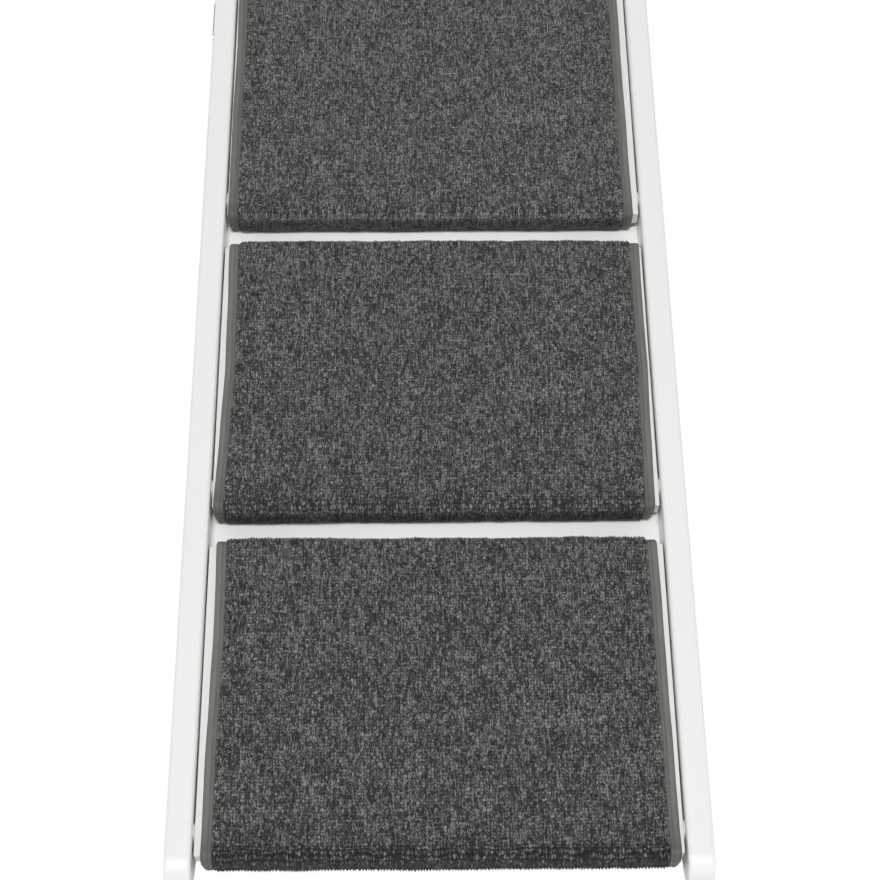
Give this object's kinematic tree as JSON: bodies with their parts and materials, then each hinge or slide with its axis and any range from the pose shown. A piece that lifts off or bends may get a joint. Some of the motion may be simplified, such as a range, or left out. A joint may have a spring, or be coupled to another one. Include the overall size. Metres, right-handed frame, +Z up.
{
  "type": "dog ramp",
  "caption": "Folding dog ramp with white wooden side rails and carpeted treads that tilt level to make steps.",
  "frame": {"origin": "on the floor, in the middle of the ramp's length and width", "axes": "+Z up, the ramp rises towards +Y, X across the ramp with +X on the right when walking up"},
  "size_m": [0.4256, 0.8775, 0.4845],
  "materials": {
    "white_paint": "satin white paint on wood",
    "carpet": "heather-grey loop-pile carpet",
    "binding": "smooth woven binding tape",
    "hook_tape": "woven hook tape",
    "zinc_steel": "zinc plated",
    "grey_steel": "plain grey sheet steel",
    "nylon": "cream nylon",
    "rubber": "matte moulded rubber"
  },
  "bodies": {
    "frame": {"rail_left": "white_paint", "rail_right": "white_paint", "crossbar_lower": "white_paint", "crossbar_middle": "white_paint", "crossbar_top": "white_paint", "crossbar_screws": "zinc_steel", "pivot_washers": "nylon", "stop_pegs": "zinc_steel", "hinge_plates": "zinc_steel", "hinge_screws": "zinc_steel", "hinge_bolts": "zinc_steel", "hinge_nuts": "zinc_steel", "floor_pads": "rubber", "end_pads": "rubber"},
    "legs": {"leg_left": "white_paint", "leg_right": "white_paint", "leg_crossbar": "white_paint", "leg_screws": "zinc_steel", "leg_pads": "rubber"},
    "tread_bottom": {"tread_bottom": "white_paint", "mat_bottom": "carpet", "binding_bottom": "binding", "hook_tape_bottom": "hook_tape", "pivot_plates_bottom": "grey_steel", "pivot_bolts_bottom": "zinc_steel", "guide_plates_bottom": "grey_steel", "plate_screws_bottom": "zinc_steel", "lock_barrels_bottom": "zinc_steel"},
    "tread_middle": {"tread_middle": "white_paint", "mat_middle": "carpet", "binding_middle": "binding", "hook_tape_middle": "hook_tape", "pivot_plates_middle": "grey_steel", "pivot_bolts_middle": "zinc_steel", "guide_plates_middle": "grey_steel", "plate_screws_middle": "zinc_steel", "lock_barrels_middle": "zinc_steel"},
    "tread_top": {"tread_top": "white_paint", "mat_top": "carpet", "binding_top": "binding", "hook_tape_top": "hook_tape", "pivot_plates_top": "grey_steel", "pivot_bolts_top": "zinc_steel", "guide_plates_top": "grey_steel", "plate_screws_top": "zinc_steel", "lock_barrels_top": "zinc_steel"},
    "lock_left_bottom": {"lock_bolt_left_bottom": "zinc_steel"},
    "lock_right_bottom": {"lock_bolt_right_bottom": "zinc_steel"},
    "lock_left_middle": {"lock_bolt_left_middle": "zinc_steel"},
    "lock_right_middle": {"lock_bolt_right_middle": "zinc_steel"},
    "lock_left_top": {"lock_bolt_left_top": "zinc_steel"},
    "lock_right_top": {"lock_bolt_right_top": "zinc_steel"}
  },
  "joints": [
    {"name": "bottom_tread_tilt", "type": "hinge", "parent": "frame", "child": "tread_bottom", "pos_m": [0, -0.39956, 0.02917], "axis": [-1, 0, 0], "range_deg": [0, 28]},
    {"name": "middle_tread_tilt", "type": "hinge", "parent": "frame", "child": "tread_middle", "pos_m": [0, -0.14351, 0.16532], "axis": [-1, 0, 0], "range_deg": [0, 28]},
    {"name": "top_tread_tilt", "type": "hinge", "parent": "frame", "child": "tread_top", "pos_m": [0, 0.11255, 0.30146], "axis": [-1, 0, 0], "range_deg": [0, 28]},
    {"name": "bottom_left_lock_slide", "type": "slide", "parent": "tread_bottom", "child": "lock_left_bottom", "axis": [-1, 0, 0], "range_m": [0, 0.012]},
    {"name": "bottom_right_lock_slide", "type": "slide", "parent": "tread_bottom", "child": "lock_right_bottom", "axis": [1, 0, 0], "range_m": [0, 0.012]},
    {"name": "middle_left_lock_slide", "type": "slide", "parent": "tread_middle", "child": "lock_left_middle", "axis": [-1, 0, 0], "range_m": [0, 0.012]},
    {"name": "middle_right_lock_slide", "type": "slide", "parent": "tread_middle", "child": "lock_right_middle", "axis": [1, 0, 0], "range_m": [0, 0.012]},
    {"name": "top_left_lock_slide", "type": "slide", "parent": "tread_top", "child": "lock_left_top", "axis": [-1, 0, 0], "range_m": [0, 0.012]},
    {"name": "top_right_lock_slide", "type": "slide", "parent": "tread_top", "child": "lock_right_top", "axis": [1, 0, 0], "range_m": [0, 0.012]},
    {"name": "leg_fold", "type": "hinge", "parent": "frame", "child": "legs", "pos_m": [0, 0.34506, 0.33279], "axis": [-1, 0, 0], "range_deg": [0, 74]}
  ]
}
